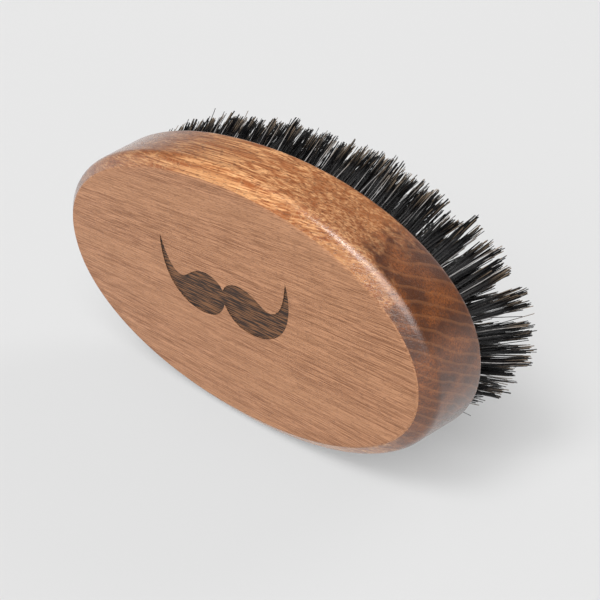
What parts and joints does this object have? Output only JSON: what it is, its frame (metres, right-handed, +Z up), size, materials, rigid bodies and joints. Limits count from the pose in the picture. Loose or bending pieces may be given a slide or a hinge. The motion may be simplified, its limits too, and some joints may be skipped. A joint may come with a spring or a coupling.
{
  "type": "beard brush",
  "caption": "Oval wooden beard brush with a bevelled flat back and spreading bristle tufts set in blind holes, standing on its long side wall.",
  "frame": {"origin": "on the table, under the middle of the brush's box, with the brush resting on its long side wall", "axes": "+X along the oval, +Z up across the oval's width, +Y out of the bristle side, so the flat back looks towards -Y and leans 6.5 degrees forward over the table"},
  "size_m": [0.1206, 0.0324, 0.0635],
  "materials": {
    "oiled_wood": "satin",
    "bristle": "satin",
    "anchor_metal": "satin"
  },
  "bodies": {
    "root": {"handle_block": "oiled_wood", "border_tufts": "bristle", "border_anchors": "anchor_metal", "tuft_column_01": "bristle", "tuft_column_02": "bristle", "tuft_column_03": "bristle", "tuft_column_04": "bristle", "tuft_column_05": "bristle", "tuft_column_06": "bristle", "tuft_column_07": "bristle", "tuft_column_08": "bristle", "tuft_column_09": "bristle", "tuft_column_10": "bristle", "tuft_column_11": "bristle", "tuft_column_12": "bristle", "tuft_column_13": "bristle", "tuft_column_14": "bristle", "tuft_column_15": "bristle", "tuft_column_16": "bristle", "tuft_column_17": "bristle", "tuft_column_18": "bristle", "tuft_column_19": "bristle", "tuft_column_20": "bristle", "tuft_column_21": "bristle", "tuft_column_22": "bristle", "tuft_column_23": "bristle", "tuft_column_24": "bristle", "tuft_column_25": "bristle", "anchor_column_01": "anchor_metal", "anchor_column_02": "anchor_metal", "anchor_column_03": "anchor_metal", "anchor_column_04": "anchor_metal", "anchor_column_05": "anchor_metal", "anchor_column_06": "anchor_metal", "anchor_column_07": "anchor_metal", "anchor_column_08": "anchor_metal", "anchor_column_09": "anchor_metal", "anchor_column_10": "anchor_metal", "anchor_column_11": "anchor_metal", "anchor_column_12": "anchor_metal", "anchor_column_13": "anchor_metal", "anchor_column_14": "anchor_metal", "anchor_column_15": "anchor_metal", "anchor_column_16": "anchor_metal", "anchor_column_17": "anchor_metal", "anchor_column_18": "anchor_metal", "anchor_column_19": "anchor_metal", "anchor_column_20": "anchor_metal", "anchor_column_21": "anchor_metal", "anchor_column_22": "anchor_metal", "anchor_column_23": "anchor_metal", "anchor_column_24": "anchor_metal", "anchor_column_25": "anchor_metal"}
  },
  "joints": []
}
